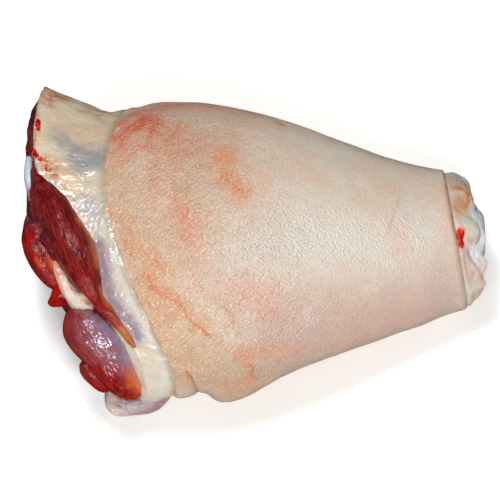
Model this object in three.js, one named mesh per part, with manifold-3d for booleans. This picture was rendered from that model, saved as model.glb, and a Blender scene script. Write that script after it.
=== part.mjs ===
// Raw pork knuckle, lying on its side on a table.
//
// It is the lower hind leg of a pig, cut through the knee at its thick end and through the hock at its thin
// end. The rind wraps the leg between the two cuts. At the knee it was trimmed back from a collar of fat and
// from the ends of the muscles. The shin bone runs through the meat from one cut to the other.
//
// Millimetres. +X runs along the leg to the hock, +Y to the far side and +Z up, with the table at z = 0.
// A place on the leg is its x, an angle round it and a lift off its skin. The angle is 0 at the far side,
// 90 on top, 180 at the near side and 270 underneath.

import * as THREE from 'three';
import { LoftGeometry } from 'three/addons/geometries/LoftGeometry.js';
import { mergeVertices } from 'three/addons/utils/BufferGeometryUtils.js';
import Module from 'manifold-3d';

// ---- The leg's own form, at stations along it

const FIRST_STATION = - 72;
const STATION_GAP = 24;
const HALF_WIDTHS = [ 69.4, 71.5, 69.9, 65, 56.9, 47.9, 39.1, 32.3 ];
const HALF_HEIGHTS = [ 46, 48, 48, 46, 42, 37, 32.5, 29 ];
const CENTRE_HEIGHTS = [ 39, 41, 41, 39.5, 36, 31.5, 27.3, 24.2 ];
const SIDE_DRIFTS = [ 2.1, 0.4, 1.7, 2.8, 4.7, 6.5, 9.3, 14 ];

const TABLE_ROLL = 3; // how high the settled skin takes to roll up off the table
const MEAT_CLEARANCE = 0.4; // the meat settles this far above the rind's flat

// ---- Where the rind and the fat end: a mean x, and the reach and crest angle of each wave round the leg

const KNEE_RIM = { mean: - 50.3, waves: [ [ 14, - 127 ], [ 4.8, - 7 ], [ 1.8, 38 ] ] };
const FAT_EDGE = { mean: - 74.7, waves: [ [ 24.9, - 150 ], [ 4.5, - 13 ], [ 2.7, 27 ] ] };
const HOCK_RIM = { mean: 91.9, waves: [ [ 5.3, - 152 ] ] };

const RIND_STEP = 3.5; // how far the rind stands proud of the fat at the knee
const EDGE_ROUND = 1.5;
const RIM_DROOP = { depth: 1.8, length: 8 }; // the rind thins towards the knee

// ---- The collar of fat at the knee, which flares at its far corner, is pared away at its near side and sags
// ---- at its lower edge

const FLARE = { height: 13, angle: 28, spread: 36, startX: - 66, length: 30 };
const PARED = { depth: 4, angle: 130, spread: 45, startX: - 60, length: 30 };
const SAG = { height: 5.8, angle: 203, spread: 20, x: - 48.5, length: 13 };

// ---- The knee cut: square across the leg at its far half, and slanting back to the near side

const FACE_X = - 100;
const FACE_MIDDLE = { y: 4, z: 46 };
const FACE_SQUARENESS = 4;
const SLANT = 0.45; // x gained for each millimetre towards the near, lower side
const SLANT_START = 4;
const SLANT_DIRECTION = { y: 0.883, z: 0.469 };

// The middles of the muscles' ends on the cut, as [ y, z ], and how far they swell between their seams.
const CUT_MUSCLES = [
	[ 54, 44 ], [ 40, 68 ], [ 8, 77 ], [ - 18, 66 ], [ - 38, 44 ],
	[ 42, 20 ], [ 12, 15 ], [ - 16, 18 ], [ - 40, 24 ],
];
const SWELLING = 3.5;
const SEAM_WIDTH = 12;

// ---- The hock cut: a low dome of gristle

const HOCK_MIDDLE = { x: 100, y: 14, z: 28 };
const HOCK_STEP = 1.6; // how far the rind, thinner here, stands proud of the gristle
const HOCK_SQUARENESS = 4;

// ---- The shin bone, as a path with half-widths and half-heights along it

const BONE = {
	path: [
		[ - 104.5, 16, 50 ], [ - 92, 15.5, 49.5 ], [ - 62, 12, 46 ], [ 0, 9, 39 ],
		[ 60, 10, 31 ], [ 88, 13.5, 29 ], [ 105, 14, 29 ],
	],
	width: [ 26, 27, 17, 11.5, 11, 16, 16.5 ],
	depth: [ 21, 22, 15, 10.5, 10, 14, 14.5 ],
};
const BONE_BLUNTNESS = 0.28;
const BONE_GAP = 0.3;
const TUNNEL_OVERRUN = 6;
const CONDYLE_GROOVE = { depth: 3, width: 6, length: 9 };

const ORIGIN_SHIFT = [ 0.3, - 3, 0 ]; // sets the origin under the middle of the whole

const { exp, cos, sin, hypot, PI, floor } = Math;
const { degToRad: radians, clamp, lerp, smoothstep } = THREE.MathUtils;

const wasm = await Module();
wasm.setup();

// A bell of height 1 at 0 that dies away over about one unit.
const bell = ( distance ) => exp( - distance * distance );

// The turn in degrees, between - 180 and 180, from one angle round the leg to another.
const turn = ( to, from ) => ( ( ( to - from ) % 360 ) + 540 ) % 360 - 180;

// count numbers from first to last.
function spread( first, last, count ) {

	return Array.from( { length: count }, ( _, i ) => lerp( first, last, i / ( count - 1 ) ) );

}

// The numbers of a full turn cut into count steps.
const stepsOfTurn = ( fullTurn, count ) => spread( 0, fullTurn, count + 1 ).slice( 0, count );

// A smooth curve through values that stand at equally spaced stations (Catmull and Rom's cubic).
function through( values, position ) {

	const last = values.length - 1;
	const at = clamp( position, 0, last - 1e-9 );
	const i = floor( at );
	const t = at - i;
	const [ a, b, c, d ] = [ i - 1, i, i + 1, i + 2 ].map( ( k ) => values[ clamp( k, 0, last ) ] );
	return b + 0.5 * t * ( c - a + t * ( 2 * a - 5 * b + 4 * c - d + t * ( 3 * ( b - c ) + d - a ) ) );

}

// Soft flesh settles on its floor: what would sink below lies flat, and the turn upwards is round.
function settle( z, floorZ ) {

	const over = z - floorZ;
	if ( over < - TABLE_ROLL ) return floorZ;
	if ( over > TABLE_ROLL ) return z;
	return floorZ + ( over + TABLE_ROLL ) ** 2 / ( 4 * TABLE_ROLL );

}

// The point on the leg at x, an angle round it and a lift off its skin.
function legPoint( x, angle, lift = 0 ) {

	const station = ( x - FIRST_STATION ) / STATION_GAP;
	const a = radians( angle );
	return new THREE.Vector3(
		x,
		through( SIDE_DRIFTS, station ) + ( through( HALF_WIDTHS, station ) + lift ) * cos( a ),
		through( CENTRE_HEIGHTS, station ) + ( through( HALF_HEIGHTS, station ) + lift ) * sin( a ),
	);

}

// The middle of the leg at x.
function legMiddle( x ) {

	const station = ( x - FIRST_STATION ) / STATION_GAP;
	return new THREE.Vector3( x, through( SIDE_DRIFTS, station ), through( CENTRE_HEIGHTS, station ) );

}

// The x of a rim at an angle.
function rimX( { mean, waves }, angle ) {

	const wave = ( [ reach, crest ], i ) => reach * cos( radians( ( i + 1 ) * ( angle - crest ) ) );
	return waves.map( wave ).reduce( ( x, offset ) => x + offset, mean );

}

// ---- Solids

// A closed body through rings of points, of which the first and the last are single points.
function closedBody( rings, floorZ = MEAT_CLEARANCE ) {

	const settled = rings.map( ( ring ) => ring.map( ( p ) => p.clone().setZ( settle( p.z, floorZ ) ) ) );
	const loft = new LoftGeometry( settled );
	const bare = new THREE.BufferGeometry();
	bare.setAttribute( 'position', loft.attributes.position );
	bare.setIndex( loft.index );
	const merged = mergeVertices( bare, 1e-4 );
	const index = merged.index.array;
	const triVerts = [];
	for ( let i = 0; i < index.length; i += 3 ) {

		const [ a, b, c ] = index.slice( i, i + 3 );
		if ( a !== b && b !== c && c !== a ) triVerts.push( a, b, c );

	}

	return new wasm.Manifold( new wasm.Mesh( {
		numProp: 3,
		vertProperties: merged.attributes.position.array,
		triVerts: Uint32Array.from( triVerts ),
	} ) );

}

// Rings round the leg: each row is a function that gives a point for an angle.
function ringsOf( rows, sides ) {

	const angles = stepsOfTurn( 360, sides );
	return rows.map( ( row ) => angles.map( row ) );

}

// A long rounded body along a smooth curve through points, with half-widths and half-depths at equal steps
// along it. Its depth points the way that facing gives, and bluntness is low for square ends and 0.5 for round.
function bellyBody( points, form ) {

	const { width, depth, facing, bluntness = 0.5, sides = 14, steps = 12, shape = ( point ) => point } = form;
	const curve = new THREE.CatmullRomCurve3( points, false, 'catmullrom', 0.5 );
	const rings = spread( 0, 1, steps + 1 ).map( ( share, step ) => {

		const t = 0.5 - 0.5 * cos( PI * share );
		const centre = curve.getPoint( t );
		const along = curve.getTangent( clamp( t, 0.001, 0.999 ) );
		const up = facing( centre );
		up.addScaledVector( along, - up.dot( along ) ).normalize();
		const across = new THREE.Vector3().crossVectors( up, along );
		const fullness = step % steps ? sin( PI * share ) ** bluntness : 0;
		const halfWidth = fullness * through( width, t * ( width.length - 1 ) );
		const halfDepth = fullness * through( depth, t * ( depth.length - 1 ) );
		return stepsOfTurn( 2 * PI, sides ).map( ( a ) => {

			const point = centre.clone();
			point.addScaledVector( across, halfWidth * cos( a ) );
			point.addScaledVector( up, halfDepth * sin( a ) );
			return shape( point );

		} );

	} );
	return closedBody( rings );

}

// A belly laid on the leg, with its path in places on the leg. It faces outwards, tilted along it by leanX.
function pieceOnLeg( { path, leanX = 0, ...form } ) {

	const outwards = ( point ) => point.clone().sub( legMiddle( point.x ) ).setX( 0 ).normalize().setX( leanX );
	return bellyBody( path.map( ( place ) => legPoint( ...place ) ), { facing: outwards, ...form } );

}

// ---- Rind: the skin, one sleeve from the knee rim to the hock rim

// The sagging lobe at the near side, the nick beside it, and the soft rolls that run down the flank.
const RIND_BULGES = [
	{ x: - 10, angle: 205, length: 17, spread: 17, height: 7 },
	{ x: - 24, angle: 203, length: 5, spread: 15, height: - 3.4 },
	{ x: - 38, angle: 202, length: 10, spread: 17, height: 2.6 },
	{ x: - 50, angle: 60, length: 12, spread: 20, height: 1.2 },
	{ x: - 30, angle: 118, length: 7, spread: 26, height: - 0.8 },
	{ x: - 42, angle: 150, length: 9, spread: 12, height: 1.2 },
	{ x: 60, angle: 100, length: 30, spread: 14, height: 0.8 },
];

function rindLift( x, angle ) {

	const droop = RIM_DROOP.depth * bell( ( x - rimX( KNEE_RIM, angle ) ) / RIM_DROOP.length );
	return RIND_BULGES.reduce( ( lift, b ) => lift
		+ b.height * bell( ( x - b.x ) / b.length ) * bell( turn( angle, b.angle ) / b.spread ), - droop );

}

function rind() {

	const shelf = ( rim, lift ) => ( angle ) => legPoint( rimX( rim, angle ), angle, lift );
	const shoulder = ( rim, inwards ) => ( angle ) => {

		const x = rimX( rim, angle ) + inwards;
		return legPoint( x, angle, rindLift( x, angle ) - 0.3 * EDGE_ROUND );

	};

	const between = ( share ) => ( angle ) => {

		const x = lerp( rimX( KNEE_RIM, angle ) + EDGE_ROUND, rimX( HOCK_RIM, angle ) - EDGE_ROUND, share );
		return legPoint( x, angle, rindLift( x, angle ) );

	};

	return closedBody( ringsOf( [
		() => legMiddle( KNEE_RIM.mean ),
		shelf( KNEE_RIM, - 14 ),
		shelf( KNEE_RIM, - EDGE_ROUND - RIM_DROOP.depth ),
		shoulder( KNEE_RIM, 0.4 * EDGE_ROUND ),
		...spread( 0, 1, 28 ).map( between ),
		shoulder( HOCK_RIM, - 0.4 * EDGE_ROUND ),
		shelf( HOCK_RIM, - EDGE_ROUND ),
		shelf( HOCK_RIM, - 10 ),
		() => legMiddle( HOCK_RIM.mean ),
	], 64 ), 0 );

}

// ---- Knee stump: the flesh that stands out of the rind, ringed by fat, with the cut ends of the muscles

function swelling( y, z ) {

	const away = CUT_MUSCLES.map( ( [ muscleY, muscleZ ] ) => hypot( y - muscleY, z - muscleZ ) );
	const [ nearest, second ] = away.sort( ( a, b ) => a - b );
	return SWELLING * smoothstep( second - nearest, 0, SEAM_WIDTH );

}

function stumpLift( x, angle ) {

	const flareShare = clamp( ( FLARE.startX - x ) / FLARE.length, 0, 1 );
	const flare = FLARE.height * flareShare * bell( turn( angle, FLARE.angle ) / FLARE.spread );
	const paredShare = smoothstep( PARED.startX - x, 0, PARED.length );
	const pared = PARED.depth * paredShare * bell( turn( angle, PARED.angle ) / PARED.spread );
	const sag = SAG.height * bell( ( x - SAG.x ) / SAG.length ) * bell( turn( angle, SAG.angle ) / SAG.spread );
	return flare - pared + sag - RIND_STEP;

}

// The x of the slanting knee cut at a point on it.
function cutX( y, z ) {

	const acrossCut = SLANT_DIRECTION.y * y + SLANT_DIRECTION.z * ( z - FACE_MIDDLE.z );
	return FACE_X + SLANT * settle( SLANT_START - acrossCut, 0 );

}

function kneeStump() {

	const side = ( share ) => ( angle ) => {

		const x = lerp( - 20, rimX( FAT_EDGE, angle ), share );
		return legPoint( x, angle, stumpLift( x, angle ) );

	};

	const face = ( share ) => ( angle ) => {

		const edge = rimX( FAT_EDGE, angle );
		const point = new THREE.Vector3( 0, FACE_MIDDLE.y, FACE_MIDDLE.z );
		point.lerp( legPoint( edge, angle, stumpLift( edge, angle ) ), share );
		const swell = swelling( point.y, point.z ) * smoothstep( 1 - share, 0, 0.12 );
		return point.setX( lerp( cutX( point.y, point.z ), edge, share ** FACE_SQUARENESS ) - swell );

	};

	return closedBody( ringsOf( [
		face( 0 ),
		...spread( 0.13, 0.85, 7 ).map( face ),
		...[ 0.92, 0.97, 1 ].map( face ),
		...spread( 0.88, 0, 7 ).map( side ),
		() => legMiddle( - 10 ),
	], 56 ) );

}

// ---- Muscles and scraps that stand out of the knee cut

const KNEE_PIECES = {
	longMuscle: {
		path: [
			[ - 100.5, 69, - 4 ], [ - 96.5, 77.5, - 7 ], [ - 91, 87, - 9 ], [ - 85.6, 98.2, - 9 ],
			[ - 80.6, 109.4, - 8.5 ], [ - 75.4, 121, - 7.5 ], [ - 70.2, 131.6, - 6 ], [ - 61.8, 141.5, - 4.8 ],
			[ - 53.8, 154, - 4.2 ],
		],
		width: [ 2, 4.4, 7.1, 8.4, 9.4, 7.4, 3.5, 3.2, 3 ],
		depth: [ 3.5, 6.5, 9, 9.5, 9.5, 8.5, 5.5, 3.5, 2.5 ],
		leanX: - 0.4,
		steps: 20,
	},
	nearMuscle: {
		path: [
			[ - 96, 68, - 23 ], [ - 97.6, 92, - 23.5 ], [ - 96.3, 105, - 22 ], [ - 90.6, 120, - 20 ],
			[ - 86, 129, - 18 ],
		],
		width: [ 4, 7, 8, 7.5, 5 ],
		depth: [ 6, 9, 9.5, 8, 5 ],
		leanX: - 1,
	},
	sinew: {
		path: [
			[ - 90.2, 111.2, - 15 ], [ - 87, 118.1, - 14 ], [ - 84.2, 124.9, - 13.5 ],
			[ - 81.1, 131.2, - 12.5 ], [ - 77, 134.7, - 11.5 ], [ - 72, 136.7, - 11 ],
		],
		width: [ 1.4, 2.4, 2.8, 4.6, 6, 4.5 ],
		depth: [ 2, 3.2, 3.8, 5, 6, 4.5 ],
		leanX: - 0.6,
		sides: 10,
		steps: 14,
	},
	scrap: {
		path: [ [ - 85, 129, - 15.5 ], [ - 88.6, 134.5, - 18 ], [ - 93, 141.5, - 22 ] ],
		width: [ 7, 5, 1.8 ],
		depth: [ 3, 2.4, 1 ],
		leanX: - 0.3,
		sides: 8,
		steps: 7,
	},
	silverMuscle: {
		path: [
			[ - 80, 139, - 17 ], [ - 78, 148.5, - 13.5 ], [ - 73, 155.5, - 11 ], [ - 67.5, 164.5, - 9.5 ],
			[ - 62, 178, - 7 ], [ - 56.6, 196, - 5.5 ], [ - 51, 203, - 5 ],
		],
		width: [ 8, 13.6, 13.8, 12.8, 10.5, 10, 9 ],
		depth: [ 8, 10.5, 10.5, 10, 9.5, 9, 8 ],
		leanX: - 0.6,
		sides: 16,
		steps: 14,
	},
	lowMuscle: {
		path: [
			[ - 77, 186, - 14.5 ], [ - 74, 191, - 10.5 ], [ - 71, 194, - 7.5 ], [ - 67.5, 196, - 4.8 ],
			[ - 62, 199, - 4 ],
		],
		width: [ 4, 4.6, 5, 4.6, 3.5 ],
		depth: [ 4, 5, 5, 4.5, 3.5 ],
		leanX: - 0.8,
		sides: 12,
	},
	jointPad: {
		path: [ [ - 101.4, 57, - 9 ], [ - 102.3, 67, - 8 ], [ - 102.4, 76, - 8.5 ], [ - 101, 86, - 11 ] ],
		width: [ 1.9, 2, 2, 1.8 ],
		depth: [ 3, 4, 4, 3 ],
		sides: 8,
		steps: 8,
	},
	underFlap: {
		path: [ [ - 67.4, 228, 3 ], [ - 59, 230, 5.5 ], [ - 49, 230, 4.5 ], [ - 39, 230, 1 ] ],
		width: [ 17.5, 17, 15, 9 ],
		depth: [ 6, 7, 7, 5 ],
		facing: () => new THREE.Vector3( 0, 0.1, 1 ),
		bluntness: 0.27,
	},
};

// ---- Hock stump: fat, tendons and gristle in a low dome round the bone

// How far each lump pushes the dome out along the leg and off its side. share is its place from the dome's
// middle, 0, to its rim, 1, and size is its half-breadth in degrees and in share.
const HOCK_LUMPS = {
	farFat: { angle: 30, share: 0.88, size: [ 15, 0.2 ], out: 4, lift: 0.4 },
	topFat: { angle: 60, share: 0.85, size: [ 18, 0.22 ], out: 3.5, lift: - 0.6 },
	gristlePad: { angle: 112, share: 0.55, size: [ 36, 0.26 ], out: 5.5, lift: 0 },
	roundTendon: { angle: 106, share: 0.84, size: [ 10, 0.12 ], out: 2.5, lift: 0.6 },
	nearGristle: { angle: 148, share: 0.76, size: [ 12, 0.16 ], out: 6, lift: - 0.4 },
	nearFold: { angle: 168, share: 0.85, size: [ 11, 0.14 ], out: 6, lift: 0 },
	lowFold: { angle: 190, share: 0.84, size: [ 11, 0.15 ], out: 5, lift: - 2 },
	underTendon: { angle: 255, share: 0.75, size: [ 22, 0.2 ], out: 5, lift: - 1 },
	farTendon: { angle: 335, share: 0.72, size: [ 22, 0.2 ], out: 5, lift: - 1 },
};

// The sum over the lumps of one of their pushes, at a place on the dome, whose middle they leave alone.
function lumpPush( push, angle, share ) {

	return smoothstep( share, 0, 0.2 ) * Object.values( HOCK_LUMPS ).reduce( ( sum, lump ) => {

		const [ breadth, reach ] = lump.size;
		const nearness = bell( turn( angle, lump.angle ) / breadth ) * bell( ( share - lump.share ) / reach );
		return sum + lump[ push ] * nearness;

	}, 0 );

}

function hockStump() {

	const edgeX = ( angle ) => rimX( HOCK_RIM, angle ) + 1;
	const side = ( share ) => ( angle ) => legPoint( lerp( 66, edgeX( angle ), share ), angle, - HOCK_STEP );
	const dome = ( share ) => ( angle ) => {

		const rim = legPoint( edgeX( angle ), angle, lumpPush( 'lift', angle, share ) - HOCK_STEP );
		const point = new THREE.Vector3( 0, HOCK_MIDDLE.y, HOCK_MIDDLE.z ).lerp( rim, share );
		const domeX = lerp( HOCK_MIDDLE.x, rim.x, share ** HOCK_SQUARENESS );
		return point.setX( domeX + lumpPush( 'out', angle, share ) );

	};

	return closedBody( ringsOf( [
		() => legMiddle( 58 ),
		...spread( 0, 0.98, 3 ).map( side ),
		...spread( 1, 0.3, 10 ).map( dome ),
		dome( 0 ),
	], 56 ) );

}

// ---- Shin bone: a shaft between the two-lobed head at the knee and the narrower one at the hock

function boneBody( { clearance = 0, overrun = 0, shape } ) {

	const points = BONE.path.map( ( place ) => new THREE.Vector3( ...place ) );
	points[ 0 ].x -= overrun;
	points.at( - 1 ).x += overrun;
	return bellyBody( points, {
		width: BONE.width.map( ( w ) => w + clearance ),
		depth: BONE.depth.map( ( d ) => d + clearance ),
		facing: () => new THREE.Vector3( 0, 0, 1 ),
		bluntness: BONE_BLUNTNESS,
		sides: 24,
		steps: 24,
		shape,
	} );

}

function shinBone() {

	const { depth, width, length } = CONDYLE_GROOVE;
	const [ kneeX, middleY ] = BONE.path[ 0 ];
	const grooved = ( point ) => {

		const inGroove = bell( ( point.y - middleY ) / width ) * bell( ( point.x - kneeX ) / length );
		return point.setX( point.x + depth * inGroove );

	};

	return boneBody( { shape: grooved } );

}

// The tunnel that the bone fills, open at both cuts.
const boneTunnel = () => boneBody( { clearance: BONE_GAP, overrun: TUNNEL_OVERRUN } );

// ---- The two pieces

const flesh = [ kneeStump(), hockStump(), ...Object.values( KNEE_PIECES ).map( pieceOnLeg ) ]
	.reduce( ( whole, piece ) => whole.add( piece ), rind() );

function meshOf( solid, name, material ) {

	const { vertProperties, triVerts } = solid.getMesh();
	const geometry = new THREE.BufferGeometry()
		.setAttribute( 'position', new THREE.BufferAttribute( vertProperties, 3 ) )
		.setIndex( new THREE.BufferAttribute( triVerts, 1 ) );
	geometry.computeVertexNormals();
	const mesh = new THREE.Mesh( geometry, material );
	mesh.name = name;
	return mesh;

}

const rindAndMeat = meshOf(
	flesh.subtract( boneTunnel() ),
	'rind_and_meat',
	new THREE.MeshStandardMaterial( { color: 0xd9c3ab, roughness: 0.5, metalness: 0 } ),
);
const bone = meshOf(
	shinBone(),
	'shin_bone',
	new THREE.MeshStandardMaterial( { color: 0xd3d7d2, roughness: 0.3, metalness: 0 } ),
);

const knuckle = new THREE.Group();
knuckle.add( rindAndMeat, bone );
knuckle.position.set( ...ORIGIN_SHIFT );

export default knuckle;
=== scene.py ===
import bpy
import numpy as np
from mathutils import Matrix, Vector


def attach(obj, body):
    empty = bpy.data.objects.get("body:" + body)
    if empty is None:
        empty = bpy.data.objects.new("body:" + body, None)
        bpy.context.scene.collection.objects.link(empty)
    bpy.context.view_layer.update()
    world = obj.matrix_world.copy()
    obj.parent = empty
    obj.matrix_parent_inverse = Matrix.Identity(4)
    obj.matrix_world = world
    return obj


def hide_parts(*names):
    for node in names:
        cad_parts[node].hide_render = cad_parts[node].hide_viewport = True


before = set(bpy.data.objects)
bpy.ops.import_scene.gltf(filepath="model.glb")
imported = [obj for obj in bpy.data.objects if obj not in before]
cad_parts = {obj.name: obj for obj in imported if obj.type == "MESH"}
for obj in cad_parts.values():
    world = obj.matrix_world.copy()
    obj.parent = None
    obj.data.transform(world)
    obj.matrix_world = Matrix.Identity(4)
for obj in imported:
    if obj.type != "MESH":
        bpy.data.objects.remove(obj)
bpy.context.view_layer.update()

# ---- Rind
# The scalded skin wraps the leg as one sleeve, 3.5 mm thick and grown onto the fat under it, with edges that
# roll in at both cuts. It sags to a lobe at the near side, with a nick beside it. It is creased and pored,
# and flushed where blood lies under it. Its creases carry painted shade, a band along its top a painted
# highlight, and its wrinkled parts painted sparkle.

FIRST_STATION, STATION_GAP = -72, 24
HALF_WIDTHS = [69.4, 71.5, 69.9, 65, 56.9, 47.9, 39.1, 32.3]
HALF_HEIGHTS = [46, 48, 48, 46, 42, 37, 32.5, 29]
CENTRE_HEIGHTS = [39, 41, 41, 39.5, 36, 31.5, 27.3, 24.2]
SIDE_DRIFTS = [2.1, 0.4, 1.7, 2.8, 4.7, 6.5, 9.3, 14]
ORIGIN_SHIFT = np.array([0.3, -3, 0])
TABLE_ROLL = 3

KNEE_RIM = {"mean": -50.3, "waves": [(14, -127), (4.8, -7), (1.8, 38)]}
HOCK_RIM = {"mean": 91.9, "waves": [(5.3, -152)]}
LIP_ROUND = 1.8
RIM_DROOP = {"depth": 1.8, "length": 8}
KNEE_TUCKS, HOCK_TUCKS = (-14, -4), (-4, -10)  # how deep the sleeve's end rings turn in under the skin
RIND_SIDES, RIND_ROWS, LIP_ROWS = 384, 226, 8
RIND_UNEVEN = [(0.55, 24, 1), (0.3, 10, 2)]  # height, size and seed of each layer of relief
WRINKLE_HEIGHT, RAGGED_LIP = 0.16, 0.35
CREASE_WANDER, CREASE_SHADE = 0.7, 1.6
FOLD_ASIDE, FOLD_WIDTH = (0.6, -1.9), 1.7
HOCK_LINE = {"width": 1.6, "angle": 75, "spread": 55}

RIND_BULGES = [  # x, angle, length, spread, height
    (-10, 205, 17, 17, 7), (-24, 203, 5, 15, -3.4), (-38, 202, 10, 17, 2.6), (-50, 60, 12, 20, 1.2),
    (-30, 118, 7, 26, -0.8), (-42, 150, 9, 12, 1.2), (60, 100, 30, 14, 0.8),
]
RIND_CREASES = [  # path, half-width, depth, and the height of the fold that stands beside it
    ([(-47, 124.5), (-41, 128.6), (-34, 132), (-28.8, 140.6), (-24, 145), (-21, 148.5)], 0.6, 0.45, 0.7),
    ([(-48, 120.2), (-45.3, 124.4), (-41, 127)], 0.6, 0.3, 0.3),
    ([(-28, 124.5), (-24.8, 126), (-23.9, 129.9), (-13.9, 135.9), (-7.1, 145.9)], 0.6, 0.25, 0.3),
    ([(-46.2, 112.5), (-41.2, 118.6)], 0.7, 0.35, 0.4),
    ([(-45.3, 51.7), (-47.5, 59.8), (-49.8, 66.3)], 0.9, 0.5, 0.5),
    ([(-35.3, 53.5), (-37.1, 59.5), (-39.8, 63.1)], 0.9, 0.4, 0.4),
    ([(-30.5, 168), (-28.5, 178), (-26.5, 192), (-25.5, 206)], 0.9, 0.9, 0.3),
    ([(-2.5, 170), (-1, 178), (0.2, 186)], 0.8, 0.6, 0.3),
    ([(-37.1, 81), (-36.2, 89.6), (-32.5, 95.9), (-33.4, 102.2)], 0.8, 0.2, 0.2),
    ([(66, 78), (63, 92), (60, 104)], 0.8, 0.25, 0.2),
    ([(-30, 250), (-12, 262), (10, 268)], 0.9, 0.3, 0.4),
    ([(10, 322), (0, 334), (-12, 338), (-18, 350)], 0.8, 0.18, 0.4),
]
RIND_FLUSHES = [  # path, radius, strength
    ([(-53.2, 55), (-52, 52.2), (-49.2, 48.5)], 3, 1.4), ([(8.9, 36.6), (13, 37.2)], 1, 1.1),
    ([(-61.5, 60), (-54.8, 55), (-46, 50)], 8.5, 0.75),
    ([(-60.5, 50), (-57, 43), (-48, 38), (-37, 35)], 6, 0.8),
    ([(-57, 20), (-40, 24), (-18, 28), (0, 30)], 7, 0.6), ([(-64, 72), (-58, 70), (-50, 69)], 5, 0.35),
    ([(-43.9, 48.5), (-45.7, 56), (-48.9, 64.8), (-51.2, 67.2)], 3, 0.55),
    ([(-34.4, 52.8), (-36.6, 58.2), (-38.4, 63)], 3, 0.5),
    ([(-58, 60), (-43.5, 60.3), (-28, 60)], 10, 0.45),
    ([(-43.5, 70), (-35, 71), (-28, 69), (-20, 68)], 5, 0.5), ([(-11.6, 60.7)] * 2, 3, 0.3),
    ([(-35.8, 75.2), (-37.2, 85.2), (-35.8, 92.5), (-33, 97.5), (-28.4, 106)], 2.6, 0.35),
    ([(-36, 91), (-33.5, 95.5), (-30.6, 101)], 4.5, 0.5), ([(-16, 74), (-12.8, 70.5)], 5, 0.6),
    ([(-45.5, 82), (-45.2, 88), (-44.8, 93)], 3, 0.35), ([(-10.7, 82.8), (-8, 86.7)], 8, 0.3),
    ([(-30, 106), (-26, 114)], 5, 0.25), ([(-5, 129), (1.8, 133.2), (6.2, 138)], 8, 0.42),
    ([(64.4, 106), (65.5, 114)], 6.5, 0.3), ([(-34, 135), (-27.5, 141), (-21.6, 146)], 3, 0.3),
    ([(-30, 112), (-14, 122), (0, 128)], 11, 0.16), ([(20, 18), (50, 22), (74, 30)], 7, 0.25),
    ([(40, 170), (70, 172)], 11, 0.15), ([(-7, 184)] * 2, 2.4, 0.8),
    ([(-4, 163), (-3, 172), (-3, 187)], 3, 0.4), ([(-30, 285), (-12, 280)], 9, 0.35),
    ([(30, 300), (44, 290)], 8, 0.4), ([(-26, 350), (-40, 340)], 6, 0.45), ([(50, 238), (66, 246)], 9, 0.3),
    ([(10, 225), (24, 232)], 7, 0.3),
]
RIND_STAINS = [  # orange-brown: path, radius, strength
    ([(-12, 80), (-10, 83.5), (-8.4, 87)], 5.5, 1.15), ([(-15.2, 73), (-12.8, 70.5)], 3.6, 0.5),
    ([(3.9, 82.5)] * 2, 3, 0.3), ([(-28, 33.2), (-20, 34.2), (-9, 36.5)], 2.2, 0.5),
    ([(-22.5, 39), (-19, 42)], 2.5, 0.4),
    ([(-47.8, 120.2), (-46, 125.5), (-41, 127.2), (-34.5, 129.8), (-28.8, 139.5), (-24, 144),
     (-21, 147.8)], 2, 0.7), ([(-41, 128), (-32.1, 137.7)], 5, 0.25),
    ([(-44.2, 111), (-43, 117), (-38.2, 119.5)], 2.6, 0.45),
    ([(-27.2, 118.5), (-25.8, 124.8), (-13.2, 134.8), (-7, 149)], 1.8, 0.4),
    ([(-34.5, 109.5), (-32, 117)], 2.2, 0.4), ([(-29.5, 144.5)] * 2, 2, 0.4),
    ([(-7, 159.5), (-3.5, 170.2), (-2.8, 187)], 2.2, 0.5),
    ([(-7.2, 160), (4.2, 163.5), (18, 167.2)], 4, 0.4), ([(-7, 183.8)] * 2, 2.6, 0.6),
    ([(-55.5, 107.2)] * 2, 4, 0.4), ([(-65, 92.6), (-64.8, 95)], 0.9, 1.4),
    ([(-55.8, 96), (-54.6, 98)], 1.2, 0.7), ([(-48, 76), (-42, 80)], 4, 0.3),
    ([(-60, 60), (-62, 78), (-60, 92), (-56, 105), (-46, 120)], 5, 0.25),
    ([(-48, 130), (-40, 148), (-33, 165)], 6, 0.2), ([(-31, 168), (-30, 175)], 2.5, 0.6),
    ([(15, 262), (22, 270)], 4, 0.5), ([(-42, 300), (-36, 312)], 5, 0.35),
]
# Painted highlight: a paler, cooler band along the top of the skin where the lamps' sheen falls.
RIND_PAINTED_HIGHLIGHT = [
    ([(-8, 118), (14, 112), (40, 108), (70, 108)], 13, 0.9), ([(10, 96), (40, 92)], 9, 0.4),
]
RIND_LOW_YELLOW = [
    ([(-50, 128), (-40, 150), (-20, 172), (-8, 195)], 22, 1.0),
    ([(-60, 74), (-56, 90), (-52, 108)], 14, 0.8), ([(-30, 108), (-16, 130)], 12, 0.4),
    ([(-54, 52), (-40, 62), (-32, 84), (-30, 100)], 15, 0.75), ([(-16, 44), (-8, 70)], 14, 0.4),
]
RIND_LOW_PINK = [
    ([(20, 160), (50, 160), (84, 155)], 22, 0.9), ([(30, 190), (84, 190)], 22, 0.8),
    ([(5, 150), (30, 140)], 14, 0.35),
]


def through(values, position):
    """Catmull and Rom's smooth cubic through values that stand at positions 0, 1, 2 and on."""
    values = np.asarray(values, float)
    last = len(values) - 1
    at = np.clip(position, 0, last - 1e-9)
    i = np.floor(at).astype(int)
    t = (at - i).reshape(np.shape(at) + (1,) * (values.ndim - 1))
    a, b, c, d = (values[np.clip(i + k, 0, last)] for k in (-1, 0, 1, 2))
    return b + 0.5 * t * (c - a + t * (2 * a - 5 * b + 4 * c - d + t * (3 * (b - c) + d - a)))


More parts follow.
